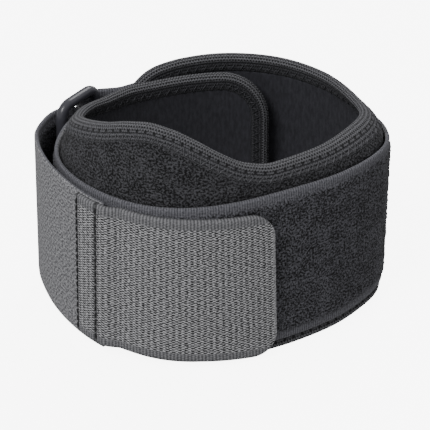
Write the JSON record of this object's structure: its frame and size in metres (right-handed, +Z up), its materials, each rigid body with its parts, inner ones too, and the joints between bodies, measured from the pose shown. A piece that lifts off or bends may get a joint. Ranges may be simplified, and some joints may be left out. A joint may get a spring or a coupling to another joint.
{
  "type": "tennis elbow strap",
  "caption": "Neoprene forearm band with a bound edge, closed to a cuff by a loop-pile strap that runs through a ring and back to a hook tab.",
  "frame": {"origin": "on the table, under the middle of the cuff", "axes": "+Z up out of the cuff's lobed rim, +X towards the wearer's right of the tab's side, -Y out of the hook tab's side"},
  "size_m": [0.107, 0.0858, 0.0774],
  "materials": {
    "neoprene": "black loop pile outside, smooth jersey inside, over neoprene foam",
    "binding": "ribbed knitted binding with a zigzag cover stitch",
    "strap": "black loop pile on one face, grey plain back on the other",
    "ring": "gloss moulded plastic",
    "tab": "grey woven hook tape, bare"
  },
  "bodies": {
    "root": {"neoprene_body": "neoprene", "edge_binding": "binding", "loop_strap": "strap", "strap_ring": "ring", "hook_tab": "tab"}
  },
  "joints": []
}
